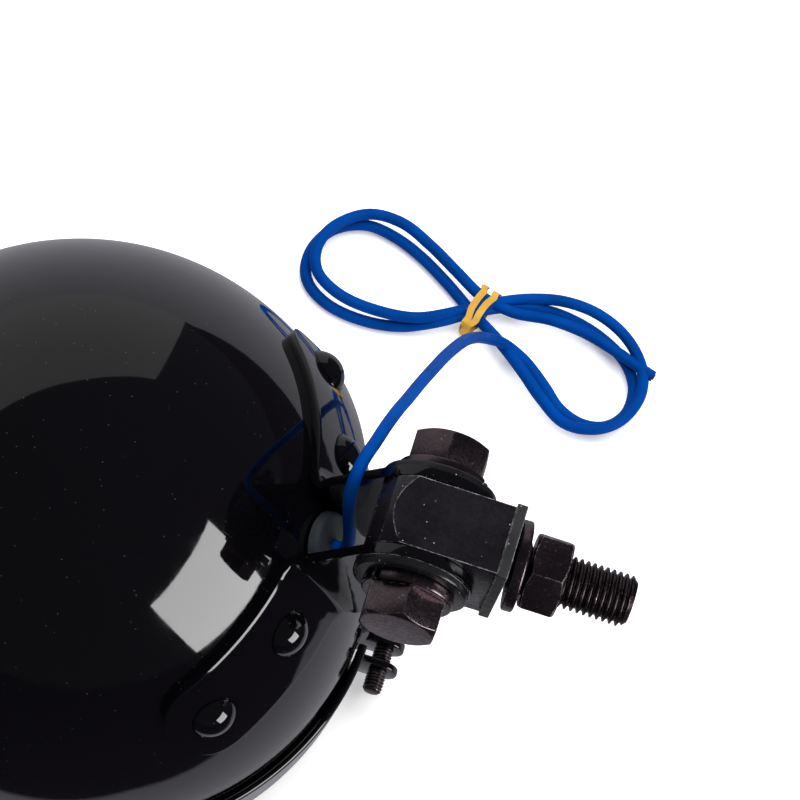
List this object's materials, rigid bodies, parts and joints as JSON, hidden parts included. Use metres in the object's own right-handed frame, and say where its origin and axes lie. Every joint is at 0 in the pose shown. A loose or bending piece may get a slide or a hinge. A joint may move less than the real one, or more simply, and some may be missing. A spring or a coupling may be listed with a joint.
{
  "type": "round motorcycle headlight",
  "caption": "Round black motorcycle headlight in a domed steel bucket, with riveted swivel mount, threaded stud and a loosely wound blue wire.",
  "frame": {"origin": "centre of the trim ring's front face, which the lamp rests on", "axes": "+Z along the lamp's axis towards the back of the dome, +X towards the mount, so that the stud points along +X"},
  "size_m": [0.1668, 0.1616, 0.0921],
  "materials": {
    "gloss_black_paint": "gloss black paint on pressed steel",
    "grommet_rubber": "matte grey rubber",
    "black_oxide": "black oxide with a warm brown cast",
    "lens_glass": "clear pressed glass",
    "gasket_rubber": "matte black rubber",
    "clip_steel": "plain spring steel",
    "reflector_silver": "vacuum-coated mirror finish",
    "bulb_metal": "plain metal base, clear glass",
    "collar_zinc": "zinc plated",
    "plug_plastic": "moulded black",
    "wire_pvc": "smooth blue insulation",
    "block_black": "satin black",
    "plate_steel": "dull black, bare cut edge",
    "washer_black": "satin black",
    "tie_foil": "gold foil on a thin wire"
  },
  "bodies": {
    "lamp": {"shell": "gloss_black_paint", "left_bracket": "gloss_black_paint", "right_bracket": "gloss_black_paint", "left_rivets": "gloss_black_paint", "right_rivets": "gloss_black_paint", "grommet": "grommet_rubber", "trim_ring": "gloss_black_paint", "clamp_screw": "black_oxide", "lens": "lens_glass", "lens_gasket": "gasket_rubber", "lens_clips": "clip_steel", "reflector": "reflector_silver", "bulb": "bulb_metal", "bulb_collar": "collar_zinc", "bulb_spring": "clip_steel", "bulb_plug": "plug_plastic", "inner_wire": "wire_pvc", "wire_lead": "wire_pvc", "wire_hank": "wire_pvc", "wire_tie": "tie_foil"},
    "swivel": {"pivot_block": "block_black", "end_plate": "plate_steel", "stud": "black_oxide", "stud_spring_washer": "black_oxide", "stud_nut": "black_oxide", "left_washer": "washer_black", "right_washer": "washer_black", "left_spring_washer": "black_oxide", "right_spring_washer": "black_oxide", "left_pivot_bolt": "black_oxide", "right_pivot_bolt": "black_oxide"}
  },
  "joints": [
    {"name": "tilt", "type": "hinge", "parent": "lamp", "child": "swivel", "pos_m": [0.0645, 0, 0.0805], "axis": [0, 1, 0], "range_deg": [-35, 35]}
  ]
}
